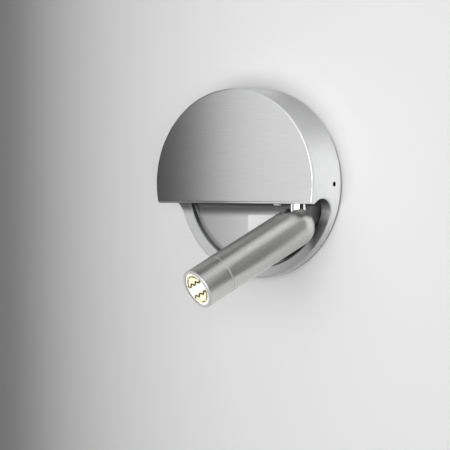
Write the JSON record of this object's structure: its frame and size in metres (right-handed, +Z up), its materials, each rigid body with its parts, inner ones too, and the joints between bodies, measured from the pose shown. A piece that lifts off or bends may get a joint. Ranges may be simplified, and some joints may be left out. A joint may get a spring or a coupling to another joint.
{
  "type": "wall spotlight",
  "caption": "Round wall spotlight: a disc housing with an arched recess across its lower half, and a lamp tube on a swivelling, tilting post that folds into it.",
  "frame": {"origin": "centre of the housing's back, on the wall plane", "axes": "+X right as seen from the room, +Y into the wall, +Z up"},
  "size_m": [0.11, 0.0897, 0.1237],
  "materials": {
    "brushed_aluminium": "satin anodised, front brushed level",
    "satin_aluminium": "fine blasted and anodised",
    "chrome_post": "polished",
    "zinc_steel": "bright zinc plated",
    "black_steel": "black oxide",
    "brass_bush": "turned",
    "cast_block": "milled",
    "white_plastic": "matt white",
    "white_pad": "blank white film",
    "driver_case": "moulded case",
    "black_rubber": "soft rubber",
    "lead_sheath": "silicone sheath",
    "board_white": "white solder mask",
    "led_phosphor": "warm white phosphor",
    "lens_clear": "clear acrylic optic"
  },
  "bodies": {
    "base": {"disc_housing": "brushed_aluminium", "inner_cover": "brushed_aluminium", "inner_cover_screws": "zinc_steel", "cover_pad": "white_pad", "wall_plate": "zinc_steel", "housing_grub_screws": "black_steel", "cable_grommet": "black_rubber", "earth_screw": "zinc_steel", "led_driver": "driver_case", "driver_screws": "zinc_steel", "terminal_block": "white_plastic", "terminal_screws": "zinc_steel", "mains_leads": "lead_sheath", "lamp_lead": "lead_sheath", "hinge_block": "cast_block", "side_block": "cast_block", "block_screws": "black_steel", "swivel_bush": "brass_bush", "stop_pin": "zinc_steel", "switch_body": "white_plastic"},
    "swivel": {"swivel_post": "chrome_post", "post_lead": "lead_sheath", "thrust_washer": "brass_bush", "wave_washer": "zinc_steel", "stop_disc": "zinc_steel", "lock_nut": "zinc_steel"},
    "tube": {"lamp_barrel": "satin_aluminium", "tilt_yoke": "cast_block", "tilt_pin": "zinc_steel", "tilt_washers": "white_plastic", "heat_sink": "cast_block", "tube_lead": "lead_sheath", "led_board": "board_white", "board_screws": "zinc_steel", "led_chips": "led_phosphor", "lens_holder": "white_plastic", "lens_array": "lens_clear", "front_ring": "satin_aluminium", "seam_ring": "white_plastic"},
    "button": {"switch_button": "white_plastic"}
  },
  "joints": [
    {"name": "swivel", "type": "hinge", "parent": "base", "child": "swivel", "pos_m": [0.0377, -0.01885, 0], "axis": [0, 0, 1], "range_deg": [-68.6, 66.4]},
    {"name": "tilt", "type": "hinge", "parent": "swivel", "child": "tube", "pos_m": [0.0377, -0.01885, -0.02315], "axis": [0.9311, -0.3649, 0], "range_deg": [-27, 8]},
    {"name": "switch", "type": "slide", "parent": "base", "child": "button", "axis": [0, 0, 1], "range_m": [0, 0.0009], "stiffness_N_per_m": 400, "springref_m": -0.001}
  ]
}
